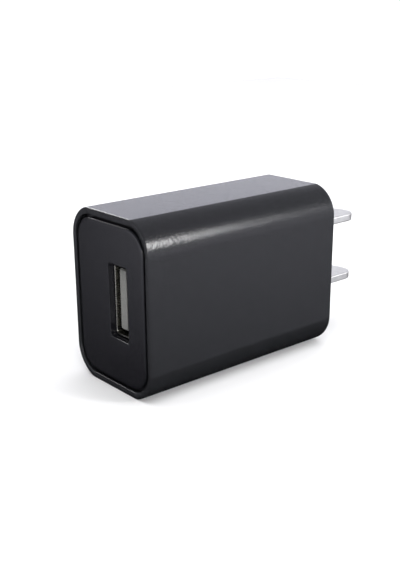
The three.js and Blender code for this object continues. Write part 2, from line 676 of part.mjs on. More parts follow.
// A closed band around the bobbin's tube, between its flanges.
function coilBand(inner, outer) {
  const ring = roundedRectangle(2 * outer.x, 2 * outer.z, outer.corner, T.x, T.z);
  ring.holes.push(roundedRectangle(2 * inner.x, 2 * inner.z, inner.corner, T.x, T.z));
  return alongY(ring, T.y - COIL.length / 2, T.y + COIL.length / 2, { curveSegments: 3 });
}

const grown = ({ x, z, corner }, by) => ({ x: x + by, z: z + by, corner: corner + by });

const COIL_INSIDE = {
  x: TRANSFORMER.coreThickness / 2 + BOBBIN.wall + COIL.play,
  z: CORE.centreLeg / 2 + BOBBIN.wall + COIL.play,
  corner: COIL.corner,
};

// Band of tape that holds the two ferrite halves together.
function coreTape() {
  const band = (grow) =>
    roundedRectangle(
      TRANSFORMER.coreLength + 2 * (TAPE.coreGap + grow),
      TRANSFORMER.coreWidth + 2 * (TAPE.coreGap + grow),
      TAPE.corner + grow,
      T.y,
      T.z,
    );
  const ring = band(TAPE.thickness);
  ring.holes.push(band(0));
  return alongX(ring, T.x - TAPE.coreWidth / 2, T.x + TAPE.coreWidth / 2, 2);
}

// ---- parts on the board -------------------------------------------------------------------------

// Electrolytic can standing on the board: pressed rim at the foot, rounded shoulder at the top.
function electrolytic({ y, z, radius, height, pitch, turn = 0 }) {
  const foot = BOARD_TOP - CAN.lift;
  const { topRoll, footRoll, beadAt, beadHalf, beadFlat, bead } = CAN;
  const half = topRoll * (1 - Math.SQRT1_2); // the middle of the shoulder's arc
  const profile = [
    [0, -height],
    [radius - topRoll, -height],
    [radius - half, -height + half],
    [radius, -height + topRoll],
    [radius, -beadAt - beadHalf],
    [radius - bead, -beadAt - beadFlat],
    [radius - bead, -beadAt + beadFlat],
    [radius, -beadAt + beadHalf],
    [radius, -footRoll],
    [radius - footRoll, 0],
    [0, 0],
  ];
  const can = turned(profile, "x", [foot, y, z], 24);
  const [dy, dz] = [Math.cos(turn) * (pitch / 2), Math.sin(turn) * (pitch / 2)];
  const leads = [-1, 1].map((side) => lead(y + side * dy, z + side * dz, foot - LEAD.radius));
  return joined(can, ...leads);
}

// Disc capacitor on edge: a lens with its axis along Z, leads 7.5 mm apart.
function discCapacitor({ y, z, radius, thickness }) {
  const half = thickness / 2;
  const x = BOARD_TOP - radius - DISC.lift;
  const [flat, shoulder] = [radius * DISC.flat, radius * DISC.shoulder];
  const profile = [
    [0, -half],
    [flat, -half],
    [shoulder, -half * DISC.flat],
    [radius, 0],
    [shoulder, half * DISC.flat],
    [flat, half],
    [0, half],
  ];
  const disc = turned(profile, "z", [x, y, z], 20);
  const leads = [-1, 1].map((side) =>
    lead(y + side * (radius - DISC.leadInset), z, x + radius * DISC.leadFrom),
  );
  return joined(disc, ...leads);
}

// Axial part lying on the board, with its leads bent down at both ends.
function axialPart({ y, z, axis, radius, length, capRadius = radius }) {
  const x = BOARD_TOP - capRadius - AXIAL.lift;
  const half = length / 2;
  const reach = half + AXIAL.wire;
  const { endRadius, endCurve, capEnd, waist } = AXIAL;
  const profile = [
    [0, -half],
    [capRadius * endRadius, -half],
    [capRadius, -half + endCurve],
    [capRadius, -half + capEnd],
    [radius, -half + waist],
    [radius, half - waist],
    [capRadius, half - capEnd],
    [capRadius, half - endCurve],
    [capRadius * endRadius, half],
    [0, half],
  ];
  const at = (along) => (axis === "y" ? [x, y + along, z] : [x, y, z + along]);
  const body = turned(profile, axis, [x, y, z], 16);
  const wire = rod(axis, LEAD.radius, 2 * reach, at(-reach), 10);
  const ends = [-reach, reach].map((along) => {
    const [, leadY, leadZ] = at(along);
    return lead(leadY, leadZ, x - LEAD.radius);
  });
  return joined(body, wire, ...ends);
}

// Moulded surface-mount package with gull-wing leads: `face` is the board face, `out` the way it stands.
function gullWing({ y, z, face, out, length, width, height, leadsPerSide, pitch, leadWidth = 0.5 }) {
  const at = (a, b) => sorted(face + out * a, face + out * b);
  const body = box(...at(GULL.lift, height), y - length / 2, y + length / 2, z - width / 2, z + width / 2);
  const leads = [-1, 1].flatMap((side) =>
    Array.from({ length: leadsPerSide }, (_, i) => {
      const place = y + (i - (leadsPerSide - 1) / 2) * pitch;
      const [y0, y1] = [place - leadWidth / 2, place + leadWidth / 2];
      // A stretch of the lead, in distances out from the body's side.
      const spanZ = (a, b) => sorted(z + side * (width / 2 + a), z + side * (width / 2 + b));
      return joined(
        box(...at(FIT, FIT + GULL.sheet), y0, y1, ...spanZ(GULL.footFrom, GULL.foot)),
        box(...at(FIT, height / 2), y0, y1, ...spanZ(GULL.kneeFrom, GULL.kneeTo)),
        box(...at(height / 2 - GULL.sheet, height / 2), y0, y1, ...spanZ(-GULL.sunk, GULL.kneeTo)),
      );
    }),
  );
  return joined(body, ...leads);
}

// Surface-mount chip on the solder side: a body between two slightly thicker end caps.
function chip({ y, z, length, width, height }) {
  const x = BOARD_BACK + FIT;
  const [end, side] = [length / 2, width / 2];
  const cap = length * CHIP.capShare;
  const { inset } = CHIP;
  return joined(
    box(x + inset, x + height - inset, y - end + cap, y + end - cap, z - side + inset, z + side - inset),
    box(x, x + height, y - end, y - end + cap, z - side, z + side),
    box(x, x + height, y + end - cap, y + end, z - side, z + side),
  );
}

// ---- assembly -----------------------------------------------------------------------------------

const charger = new THREE.Group();
const add = (name, body, finish) => charger.add(piece(name, body, finish.clone()));
const numbered = (name, list, make, finish) =>
  list.forEach((entry, i) => add(`${name}_${i + 1}`, make(entry), finish));

add("housing_sleeve", housingSleeve(), MATERIALS.shell);
add("front_cover", frontCover(), MATERIALS.panel);
add("plug_blade_upper", plugBlade(bladeZ[0]), MATERIALS.nickel);
add("plug_blade_lower", plugBlade(bladeZ[1]), MATERIALS.nickel);
add("blade_clip_upper", bladeClip(bladeZ[0]), MATERIALS.bronze);
add("blade_clip_lower", bladeClip(bladeZ[1]), MATERIALS.bronze);

add("usb_shell", portShell(), MATERIALS.steel);
add("usb_insulator", portInsulator(), MATERIALS.insulator);
numbered("usb_contact", CONTACT.places, contactBeam, MATERIALS.gold);
numbered("usb_terminal", CONTACT.places, contactTerminal, MATERIALS.gold);
WALLS.forEach((wall, i) =>
  springZ.forEach((z, k) => add(`usb_spring_${2 * i + k + 1}`, retentionSpring(wall, z), MATERIALS.steel)),
);

add("transformer_core_front", ferriteHalf(-1), MATERIALS.ferrite);
add("transformer_core_rear", ferriteHalf(1), MATERIALS.ferrite);
add("transformer_bobbin", bobbin(), MATERIALS.bobbin);
add("transformer_winding", coilBand(COIL_INSIDE, COIL.outside), MATERIALS.copper);
const coilTape = coilBand(grown(COIL.outside, TAPE.gap), grown(COIL.outside, TAPE.gap + TAPE.thickness));
add("transformer_coil_tape", coilTape, MATERIALS.tape);
add("transformer_core_tape", coreTape(), MATERIALS.tape);

const inputCapacitor = { z: -8.8, radius: 4, height: 11.2, pitch: 3.5 };
add("input_capacitor_1", electrolytic({ ...inputCapacitor, y: -23.6 }), MATERIALS.capSleeve);
add("input_capacitor_2", electrolytic({ ...inputCapacitor, y: -15.2 }), MATERIALS.capSleeve);
const outputCapacitor = { y: -36.8, z: 10.6, radius: 3.15, height: 11, pitch: 2.5 };
add("output_capacitor", electrolytic(outputCapacitor), MATERIALS.capSleeve);
const supplyCapacitor = { y: -8.2, z: 10.8, radius: 2, height: 7, pitch: 1.8, turn: Math.PI / 2 };
add("supply_capacitor", electrolytic(supplyCapacitor), MATERIALS.capSleeve);
const safetyCapacitor = { y: -35.4, z: -10.3, radius: 4, thickness: 3 };
add("safety_capacitor", discCapacitor(safetyCapacitor), MATERIALS.ceramicBlue);

const fusibleResistor = { y: -11.4, z: 5.6, axis: "z", radius: 1.35, length: 8.4, capRadius: 1.55 };
add("fusible_resistor", axialPart(fusibleResistor), MATERIALS.resistorBody);
const inputChoke = { y: -20.2, z: -2.9, axis: "y", radius: 1.4, length: 9.4, capRadius: 1.5 };
add("input_choke", axialPart(inputChoke), MATERIALS.chokeSleeve);

const bridge = { face: BOARD_TOP, out: -1, leadsPerSide: 2, pitch: 2.5, leadWidth: 0.6 };
const bridgeBody = { y: -8.6, z: -10.3, length: 4.6, width: 2.9, height: 2.5 };
add("bridge_rectifier", gullWing({ ...bridge, ...bridgeBody }), MATERIALS.epoxy);
const controller = { face: BOARD_BACK, out: 1, leadsPerSide: 4, pitch: 1.27, leadWidth: 0.4 };
const controllerBody = { y: -18.6, z: -3, length: 4.9, width: 3.9, height: 1.6 };
add("controller_ic", gullWing({ ...controller, ...controllerBody }), MATERIALS.epoxy);
const diode = { face: BOARD_BACK, out: 1, leadsPerSide: 1, pitch: 1 };
const outputDiode = { ...diode, y: -35.3, z: -9.2, length: 3.5, width: 4.1, height: 2.1, leadWidth: 2 };
add("output_diode", gullWing(outputDiode), MATERIALS.epoxy);
const snubberDiode = { ...diode, y: -18.6, z: 5.4, length: 2.6, width: 4, height: 1.9, leadWidth: 1.4 };
add("snubber_diode", gullWing(snubberDiode), MATERIALS.epoxy);

add("snubber_resistor", chip({ y: -21.8, z: 2.6, length: 3.2, width: 1.6, height: 0.6 }), MATERIALS.epoxy);
add("snubber_capacitor", chip({ y: -21.8, z: 8.4, length: 3.2, width: 1.6, height: 1.1 }), MATERIALS.chip);
add("sense_resistor", chip({ y: -11.2, z: -2.2, length: 3.2, width: 1.6, height: 0.6 }), MATERIALS.epoxy);
numbered(
  "feedback_resistor",
  [{ z: -6.6 }, { z: -9 }],
  ({ z }) => chip({ y: -19.4, z, length: 2, width: 1.25, height: 0.5 }),
  MATERIALS.epoxy,
);
add("output_filter_capacitor", chip({ y: -35.6, z: 4, length: 2, width: 1.25, height: 1 }), MATERIALS.chip);

// The board is drilled last, once every lead has said where it goes through.
add("circuit_board", cut(circuitBoard(), ...shellLegs(SHELL_LEG.play)), MATERIALS.board);
add("insulating_film", insulatingFilm(), MATERIALS.film);

export default charger;
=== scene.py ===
import json
import math

import bmesh
import bpy
from mathutils import Matrix, Vector


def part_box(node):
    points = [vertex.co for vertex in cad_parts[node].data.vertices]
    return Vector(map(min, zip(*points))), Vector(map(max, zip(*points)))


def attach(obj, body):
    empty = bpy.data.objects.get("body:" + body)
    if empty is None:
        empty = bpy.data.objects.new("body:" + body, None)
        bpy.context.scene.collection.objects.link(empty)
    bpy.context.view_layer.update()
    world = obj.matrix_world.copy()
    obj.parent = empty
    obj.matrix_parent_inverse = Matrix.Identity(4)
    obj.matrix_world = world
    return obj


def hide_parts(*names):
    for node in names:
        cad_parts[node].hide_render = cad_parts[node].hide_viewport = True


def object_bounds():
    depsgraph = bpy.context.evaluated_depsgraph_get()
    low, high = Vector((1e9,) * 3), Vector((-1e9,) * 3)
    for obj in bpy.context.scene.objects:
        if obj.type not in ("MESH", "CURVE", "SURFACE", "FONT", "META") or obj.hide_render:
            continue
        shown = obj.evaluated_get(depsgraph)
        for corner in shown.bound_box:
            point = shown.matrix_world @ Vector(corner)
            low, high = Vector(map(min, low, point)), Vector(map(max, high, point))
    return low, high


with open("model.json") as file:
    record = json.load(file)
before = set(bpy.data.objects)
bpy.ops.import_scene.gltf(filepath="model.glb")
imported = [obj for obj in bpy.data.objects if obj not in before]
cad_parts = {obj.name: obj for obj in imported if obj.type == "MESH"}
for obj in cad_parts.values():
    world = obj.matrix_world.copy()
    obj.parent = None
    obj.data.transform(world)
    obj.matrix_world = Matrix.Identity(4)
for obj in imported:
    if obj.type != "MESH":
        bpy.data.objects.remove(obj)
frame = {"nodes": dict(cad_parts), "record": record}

CAD_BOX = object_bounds()
MM = 0.001


def low_high(node):
    """A CAD node's lowest and highest corner in millimetres."""
    return tuple(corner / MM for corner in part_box(node))


# ---- dimensions -------------------------------------------------------------------------------------

SLEEVE_LOW, SLEEVE_HIGH = low_high("housing_sleeve")
HALF_WIDTH = SLEEVE_HIGH.x
HALF_HEIGHT = SLEEVE_HIGH.z
FRONT = SLEEVE_LOW.y

CORNER_RADIUS = 5.9
CORNER_SWEEP = math.radians(78)  # the arc stops short of the flat top, so they meet at a crease
CREASE = 0.1
ARC_X = HALF_WIDTH - CORNER_RADIUS
ARC_Z = HALF_HEIGHT - CORNER_RADIUS * math.sin(CORNER_SWEEP)
ARC_STEPS, CREASE_STEPS = 24, 3
SEAT_STEPS = ARC_STEPS + CREASE_STEPS  # gives a seat ring as many points as a body ring

WALL_SIDE, WALL_REAR = 1.5, 2
RIM_SIDE, RIM_TOP, RIM_DEPTH, RIM_CORNER = 0.95, 1.15, 2.4, 4.7
SHOULDER = FRONT + RIM_DEPTH
FRONT_EDGE, REAR_EDGE, RIM_EDGE = 0.15, 0.8, 0.12
FIT = 0.05
SNAP_OUTER = HALF_WIDTH - WALL_SIDE - 0.1
SNAP_THICK, SNAP_REACH, SNAP_HALF, SNAP_BUMP = 0.9, 3.6, 7, 0.35
SNAP_ROOT, SNAP_LEAD_IN, SNAP_CREST = 0.6, 1.4, 1.2  # the first into the flange, the others from the end
GROOVE, GROOVE_DEPTH, ROLL_WIDTH, ROLL_DROP = 0.6, 1, 0.5, 0.15
COVER_BACK = SHOULDER - FIT

SHELL_LOW, SHELL_HIGH = low_high("usb_shell")
SHEET = 0.3
SHELL_CORNER = 0.4
PORT_THICK, PORT_WIDE = 5.12, 12.5
PORT_X = SHELL_LOW.x + SHEET + PORT_THICK / 2
PORT_Z = (SHELL_LOW.z + SHELL_HIGH.z) / 2
MOUTH_X = PORT_X - 0.15
MOUTH_THICK, MOUTH_WIDE, MOUTH_CORNER, LIP, MOUTH_EDGE = 5.35, 13.4, 0.3, 1.1, 0.1
SHELL_PLAY, SHELL_SEAT_CORNER = 0.3, 0.8
BEYOND = 1  # how far a cutting shape runs past the face that it cuts


# ---- mesh tools -------------------------------------------------------------------------------------

SMALLEST_GAP = 0.0005  # points closer than this are one point


def steps(start, end, count):
    return [start + (end - start) * i / count for i in range(count + 1)]


def quarter(count):
    return steps(0, math.pi / 2, count)


def loft(rings, closed=False):
    """Vertices and faces of a skin through rings of as many points, capped unless closed into a tube."""
    count = len(rings[0])
    vertices = [point for ring in rings for point in ring]
    faces = []
    for k in range(len(rings) if closed else len(rings) - 1):
        here, there = k * count, (k + 1) % len(rings) * count
        for i in range(count):
            j = (i + 1) % count
            faces.append((here + i, here + j, there + j, there + i))
    if not closed:
        faces.append(tuple(range(count))[::-1])
        last = (len(rings) - 1) * count
        faces.append(tuple(range(last, last + count)))
    return vertices, faces


def together(*shapes):
    """Several shapes as one."""
    vertices, faces = [], []
    for shape_vertices, shape_faces in shapes:
        offset = len(vertices)
        vertices += shape_vertices
        faces += [tuple(offset + i for i in face) for face in shape_faces]
    return vertices, faces


def block(x0, x1, y0, y1, z0, z1):
    def ring(y):
        return [(x0, y, z0), (x1, y, z0), (x1, y, z1), (x0, y, z1)]
    return loft([ring(y0), ring(y1)])


def raw_object(name, shape):
    """An object in the scene from (vertices, faces) in millimetres."""
    vertices, faces = shape
    mesh = bpy.data.meshes.new(name)
    mesh.from_pydata([Vector(v) * MM for v in vertices], [], faces)
    work = bmesh.new()
    work.from_mesh(mesh)
    bmesh.ops.recalc_face_normals(work, faces=work.faces)
    work.to_mesh(mesh)
    work.free()
    made = bpy.data.objects.new(name, mesh)
    bpy.context.scene.collection.objects.link(made)
    return made


def carved(target, *tools):
    """Applies (operation, shape) booleans in turn."""
    for operation, shape in tools:
        tool = raw_object("tool", shape)
        modifier = target.modifiers.new("carve", "BOOLEAN")
        modifier.operation = operation
        modifier.solver = "EXACT"
        modifier.object = tool
        graph = bpy.context.evaluated_depsgraph_get()
        result = bpy.data.meshes.new_from_object(target.evaluated_get(graph))
        target.modifiers.clear()
        target.data = result
        bpy.data.objects.remove(tool)
    return target


def soften(target, width=0, segments=3, angle=35, weld=False):
    """Rounds the hard edges if a width is given, and keeps flats looking flat."""
    if weld:
        target.modifiers.new("weld", "WELD").merge_threshold = 4 * SMALLEST_GAP * MM
    if width:
        bevel = target.modifiers.new("bevel", "BEVEL")
        bevel.width = width * MM
        bevel.segments = segments
        bevel.limit_method = "ANGLE"
        bevel.angle_limit = math.radians(angle)
        bevel.miter_outer = "MITER_ARC"
    normals = target.modifiers.new("normals", "WEIGHTED_NORMAL")
    normals.keep_sharp = True
    normals.weight = 90
    return target


def smooth(target, angle=35):
    """Cleans the mesh, and shades it smooth but for edges sharper than the angle."""
    work = bmesh.new()
    work.from_mesh(target.data)
    bmesh.ops.remove_doubles(work, verts=work.verts, dist=SMALLEST_GAP * MM)
    bmesh.ops.dissolve_degenerate(work, edges=work.edges, dist=SMALLEST_GAP * MM)
    limit = math.radians(angle)
    for edge in work.edges:
        edge.smooth = len(edge.link_faces) == 2 and edge.calc_face_angle(0) < limit
    for face in work.faces:
        face.smooth = True
    work.to_mesh(target.data)
    work.free()
    return target


def placed(target, material, body="charger", replaced=()):
    """Gives a finished piece its material and its body, and hides the CAD nodes that it stands for."""
    target.data.materials.clear()
    target.data.materials.append(material)
    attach(target, body)
    if replaced:
        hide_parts(*replaced)
    return target


# ---- outlines ---------------------------------------------------------------------------------------


def body_ring(y, inset=0.0):
    """The body's cross-section at y, drawn in by the inset, with a small radius at each crease."""
    radius = CORNER_RADIUS - inset
    lift = HALF_HEIGHT - inset - CREASE - ARC_Z
    reach = math.sqrt((radius - CREASE) ** 2 - lift**2)
    turn = math.atan2(lift, reach)
    corner = [
        (ARC_X + radius * math.cos(a), ARC_Z + radius * math.sin(a)) for a in steps(0, turn, ARC_STEPS)
    ]
    corner += [
        (ARC_X + reach + CREASE * math.cos(a), ARC_Z + lift + CREASE * math.sin(a))
        for a in steps(turn, math.pi / 2, CREASE_STEPS)[1:]
    ]
    ring = []
    for sx, sz in ((1, 1), (-1, 1), (-1, -1), (1, -1)):
        ring += [(sx * x, y, sz * z) for x, z in (corner if sx == sz else corner[::-1])]
    return ring


def rectangle_ring(y, width, height, radius, x=0.0, z=0.0, corner_steps=6):
    ring = []
    a, b = width / 2 - radius, height / 2 - radius
    for k, (sx, sz) in enumerate(((1, 1), (-1, 1), (-1, -1), (1, -1))):
        for t in quarter(corner_steps):
            angle = t + k * math.pi / 2
            ring.append((x + sx * a + radius * math.cos(angle), y, z + sz * b + radius * math.sin(angle)))
    return ring


def seat_ring(y, inset=0.0):
    """The rounded opening inside the rim, or one of the cover's outlines drawn in from it."""
    width, height = HALF_WIDTH - RIM_SIDE - inset, HALF_HEIGHT - RIM_TOP - inset
    return rectangle_ring(y, 2 * width, 2 * height, RIM_CORNER - inset, corner_steps=SEAT_STEPS)


def port_ring(y, grow, radius):
    return rectangle_ring(y, PORT_THICK + 2 * grow, PORT_WIDE + 2 * grow, radius, PORT_X, PORT_Z)


# ---- materials --------------------------------------------------------------------------------------


class Surface:
    """A Principled material whose colour, roughness and relief come from noise in object space."""

    def __init__(self, name, metallic=0.0, specular=0.5):
        self.material = bpy.data.materials.new(name)
        self.material.use_nodes = True
        self.tree = self.material.node_tree
        self.shader = self.tree.nodes["Principled BSDF"]
        self.shader.inputs["Metallic"].default_value = metallic
        self.shader.inputs["Specular IOR Level"].default_value = specular
        self.place = self.node("ShaderNodeTexCoord").outputs["Object"]

    def node(self, kind):
        return self.tree.nodes.new(kind)

    def link(self, output, target):
        self.tree.links.new(output, target)

    def noise(self, size, detail=2.0, stretch=(1, 1, 1)):
        """Noise whose features are about `size` millimetres, drawn out by stretch."""
        scale = self.node("ShaderNodeMapping")
        scale.inputs["Scale"].default_value = [1 / (size * MM * s) for s in stretch]
        self.link(self.place, scale.inputs["Vector"])
        noise = self.node("ShaderNodeTexNoise")
        noise.inputs["Scale"].default_value = 1
        noise.inputs["Detail"].default_value = detail
        self.link(scale.outputs["Vector"], noise.inputs["Vector"])
        return noise.outputs["Fac"]

    def colour(self, factor, low, high):
        """Goes from the low colour to the high one over the middle of the factor's range."""
        ramp = self.node("ShaderNodeValToRGB")
        for stop, place, colour in zip(ramp.color_ramp.elements, (0.35, 0.65), (low, high)):
            stop.position = place
            stop.color = (*colour, 1)
        self.link(factor, ramp.inputs["Fac"])
        self.link(ramp.outputs["Color"], self.shader.inputs["Base Color"])
        return self

    def roughness(self, factor, low, high):
        """Goes from the low roughness to the high one over most of the factor's range."""
        spread = self.node("ShaderNodeMapRange")
        spread.inputs["From Min"].default_value = 0.3
        spread.inputs["From Max"].default_value = 0.7
        spread.inputs["To Min"].default_value = low
        spread.inputs["To Max"].default_value = high
        self.link(factor, spread.inputs["Value"])
        self.link(spread.outputs["Result"], self.shader.inputs["Roughness"])
        return self

    def bump(self, factor, height):
        """Gives the surface relief of that many millimetres."""
        bump = self.node("ShaderNodeBump")
        bump.inputs["Distance"].default_value = height * MM
        bump.inputs["Strength"].default_value = 1
        self.link(factor, bump.inputs["Height"])
        self.link(bump.outputs["Normal"], self.shader.inputs["Normal"])
        return self


def moulded(name, low, high, roughness, grain=0.3, height=0.012, detail=3):
    """Plastic with the fine spark-eroded grain of its mould."""
    made = Surface(name)
    fine = made.noise(grain, detail=detail)
    made.colour(made.noise(grain * 3, detail=3), low, high)
    made.roughness(made.noise(grain * 1.5, detail=3), *roughness)
    return made.bump(fine, height).material


def metal(name, low, high, roughness, grain=(1, 8, 1), height=0.002, size=0.12):
    """Metal whose fine marks are drawn out along one way."""
    made = Surface(name, metallic=1)
    drawn = made.noise(size, detail=3, stretch=grain)
    made.colour(made.noise(1.5, detail=4), low, high)
    made.roughness(drawn, *roughness)
    return made.bump(drawn, height).material


SHELL_BLACK = moulded(
    "shell_black", (0.009, 0.0095, 0.0105), (0.012, 0.0125, 0.014), (0.19, 0.27),
    grain=0.27, height=0.032, detail=0,
)
PANEL_BLACK = moulded(
    "panel_black", (0.007, 0.007, 0.009), (0.010, 0.010, 0.012), (0.13, 0.19), grain=0.3, height=0.003
)
NICKEL = metal("nickel_plate", (0.80, 0.80, 0.78), (0.89, 0.89, 0.87), (0.42, 0.54))
PORT_STEEL = metal("port_steel", (0.40, 0.39, 0.34), (0.46, 0.45, 0.40), (0.22, 0.32))
GOLD = metal("contact_gold", (0.70, 0.48, 0.16), (0.80, 0.58, 0.22), (0.20, 0.32))
# The insulator is white plastic, but its colour is darkened to a mid grey: painted shade of the port's recess
# around it.
TONGUE_WHITE_PAINTED_SHADE = moulded(
    "tongue_white_painted_shade", (0.25, 0.25, 0.235), (0.29, 0.29, 0.275), (0.45, 0.55), grain=0.15, height=0.003
)


# ---- housing ----------------------------------------------------------------------------------------

BLADE_PITCH, BLADE_WIDE, BLADE_THICK = 12.7, 6.35, 1.52
NOSE_RADIUS, BLADE_EDGE = 2.6, 0.22
BLADE_TAIL_HALF, BLADE_SHOULDER, BLADE_FILLET = 2.3, -4.2, 0.35
BLADE_Z = (BLADE_PITCH / 2, -BLADE_PITCH / 2)


def sleeve_skin():
    rings = [body_ring(-WALL_REAR, WALL_SIDE), body_ring(SHOULDER, WALL_SIDE), seat_ring(SHOULDER)]
    for t in quarter(3):
        rings.append(seat_ring(FRONT + RIM_EDGE * (1 - math.sin(t)), RIM_EDGE * (math.cos(t) - 1)))
    for t in quarter(6):
        rings.append(body_ring(FRONT + FRONT_EDGE * (1 - math.cos(t)), FRONT_EDGE * (1 - math.sin(t))))
    for t in quarter(8):
        rings.append(body_ring(-REAR_EDGE * (1 - math.sin(t)), REAR_EDGE * (1 - math.cos(t))))
    return loft(rings)


def blade_slot(z):
    """Opening around a blade, with a small funnel where it comes out of the plug face."""
    wide, thick, corner = BLADE_WIDE + 2 * FIT, BLADE_THICK + 2 * FIT, 0.12
    inside, funnel = -5, 0.3
    sizes = ((inside, 0), (-funnel, 0), (funnel / 10, 1.1 * funnel), (BEYOND, 1.1 * funnel))
    return loft([rectangle_ring(y, wide + 2 * g, thick + 2 * g, corner + g, 0, z, 3) for y, g in sizes])


def inner_ribs():
    """Rails that hold the board, and the blocks behind the blades."""
    board_low, board_high = low_high("circuit_board")
    gap, width, overlap = 0.12, 0.8, 0.5
    inner, outer = board_high.z - overlap, HALF_HEIGHT - WALL_SIDE + overlap
    rail_front, short_rail_front, rail_rear = SHOULDER + 2, -11, -1
    collar_x, collar_z, collar_front = 4.6, 2.4, -4
    ribs = []
    for side in (-1, 1):
        z0, z1 = sorted((side * inner, side * outer))
        ribs.append(block(board_high.x + gap, board_high.x + gap + width, rail_front, rail_rear, z0, z1))
        ribs.append(block(board_low.x - gap - width, board_low.x - gap, short_rail_front, rail_rear, z0, z1))
    for z in BLADE_Z:
        ribs.append(block(-collar_x, collar_x, collar_front, rail_rear, z - collar_z, z + collar_z))
    return together(*ribs)


def snap_pockets():
    """Room in the sleeve's side walls for the bumps of the cover's tabs."""
    play, side_play, length = 0.2, 0.3, 1.7
    end, half = SHOULDER + SNAP_REACH, SNAP_HALF + side_play
    pockets = []
    for side in (-1, 1):
        x0, x1 = sorted((side * (SNAP_OUTER - SNAP_THICK), side * (SNAP_OUTER + SNAP_BUMP + play)))
        pockets.append(block(x0, x1, end - length, end + play, -half, half))
    return together(*pockets)


sleeve = raw_object("charger_sleeve", sleeve_skin())
carved(
    sleeve,
    ("UNION", inner_ribs()),
    ("DIFFERENCE", together(*(blade_slot(z) for z in BLADE_Z))),
    ("DIFFERENCE", snap_pockets()),
)
placed(soften(smooth(sleeve)), SHELL_BLACK, replaced=["housing_sleeve"])


# ---- front cover ------------------------------------------------------------------------------------


def cover_plate():
    """A raised panel with a groove around it, on a flange that fills the sleeve's seat."""
    rings = []
    for t in quarter(10):
        inset = GROOVE + ROLL_WIDTH * (1 - math.sin(t))
        rings.append(seat_ring(FRONT + ROLL_DROP * (1 - math.cos(t)), inset))
    floor_y = FRONT + GROOVE_DEPTH
    rings += [seat_ring(floor_y, GROOVE), seat_ring(floor_y, FIT), seat_ring(COVER_BACK, FIT)]
    return loft(rings)


def port_mouth():
    """The cut-out through the cover, with a small radius at its front edge."""
    def ring(y, grow):
        size = (MOUTH_THICK + 2 * grow, MOUTH_WIDE + 2 * grow)
        return rectangle_ring(y, *size, MOUTH_CORNER + grow, MOUTH_X, PORT_Z)
    rings = [ring(FRONT - BEYOND, MOUTH_EDGE)]
    for t in quarter(4):
        rings.append(ring(FRONT + MOUTH_EDGE * (1 - math.cos(t)), MOUTH_EDGE * (1 - math.sin(t))))
    return loft(rings + [ring(COVER_BACK + BEYOND, 0)])


def shell_seat():
    """The wider room behind the cut-out's lip, where the shell's front stands."""
    return loft([
        port_ring(y, SHEET + SHELL_PLAY, SHELL_SEAT_CORNER) for y in (FRONT + LIP, COVER_BACK + BEYOND)
    ])


def snap_tabs():
    """The cover's two tabs, each with a bump near its end."""
    tabs = []
    start, end = SHOULDER - SNAP_ROOT, SHOULDER + SNAP_REACH
    for side in (-1, 1):
        outer, inner = side * SNAP_OUTER, side * (SNAP_OUTER - SNAP_THICK)
        profile = [
            (inner, start), (outer, start), (outer, end - SNAP_LEAD_IN),
            (outer + side * SNAP_BUMP, end - SNAP_CREST), (outer, end), (inner, end),
        ]
        tabs.append(loft([[(x, y, z) for x, y in profile] for z in (-SNAP_HALF, SNAP_HALF)]))
    return together(*tabs)


cover = raw_object("charger_front_cover", cover_plate())
carved(cover, ("UNION", snap_tabs()), ("DIFFERENCE", port_mouth()), ("DIFFERENCE", shell_seat()))
placed(soften(smooth(cover)), PANEL_BLACK, replaced=["front_cover"])


# ---- plug blades ------------------------------------------------------------------------------------


def blade_outline(tail_end, tip):
    """A blade in (x, y): a narrow tail, shoulders inside the housing, and a rounded nose."""
    half, tail, shoulder, fillet = BLADE_WIDE / 2, BLADE_TAIL_HALF, BLADE_SHOULDER, BLADE_FILLET
    nose = tip - NOSE_RADIUS
    side = [(tail - fillet, tail_end), (tail, tail_end + fillet), (tail, shoulder)]
    side += [(half - fillet, shoulder), (half, shoulder + fillet)]
    side += [
        (half + NOSE_RADIUS * (math.cos(t) - 1), nose + NOSE_RADIUS * math.sin(t)) for t in quarter(20)
    ]
    return side + [(-x, y) for x, y in side[::-1]]


def plug_blade(name, node):
    low, high = low_high(node)
    points = blade_outline(low.y, high.y)
    blade = raw_object(name, loft([[(x, y, z) for x, y in points] for z in (low.z, high.z)]))
    soften(smooth(blade), BLADE_EDGE, 4, angle=45)
    return placed(blade, NICKEL, replaced=[node])


plug_blade("blade_upper", "plug_blade_upper")
plug_blade("blade_lower", "plug_blade_lower")


# ---- USB port ---------------------------------------------------------------------------------------

SHELL_FRONT, SHELL_REAR = SHELL_LOW.y, SHELL_HIGH.y
SPRINGS = {f"spring_{i}": low_high(f"usb_spring_{i}") for i in (1, 2, 3, 4)}
CONTACTS = {f"contact_{i}": low_high(f"usb_contact_{i}") for i in (1, 2, 3, 4)}

LEAF_LINE = ((0, 0), (0.04, 0.6), (0.45, 3.2), (0.38, 4.4))  # inwards from the wall, and along from the root
TONGUE_SIDE = 0.72  # from the shell's inside wall to the tongue
CONTACT_SHEET, CONTACT_ROOT, CONTACT_CREST = 0.25, 1.2, 1.84 + 0.4  # the last two from the tongue's left side


def port_tube():
    """The drawn shell: inside wall, rolled front edge, outside wall."""
    edge = SHEET / 2
    rings = [port_ring(SHELL_REAR, 0, SHELL_CORNER), port_ring(SHELL_FRONT + edge, 0, SHELL_CORNER)]
    for t in steps(0, math.pi, 6)[1:-1]:
        grow = edge * (1 - math.cos(t))
        rings.append(port_ring(SHELL_FRONT + edge * (1 - math.sin(t)), grow, SHELL_CORNER + grow))
    for y in (SHELL_FRONT + edge, SHELL_REAR):
        rings.append(port_ring(y, SHEET, SHELL_CORNER + SHEET))
    return loft(rings, closed=True)


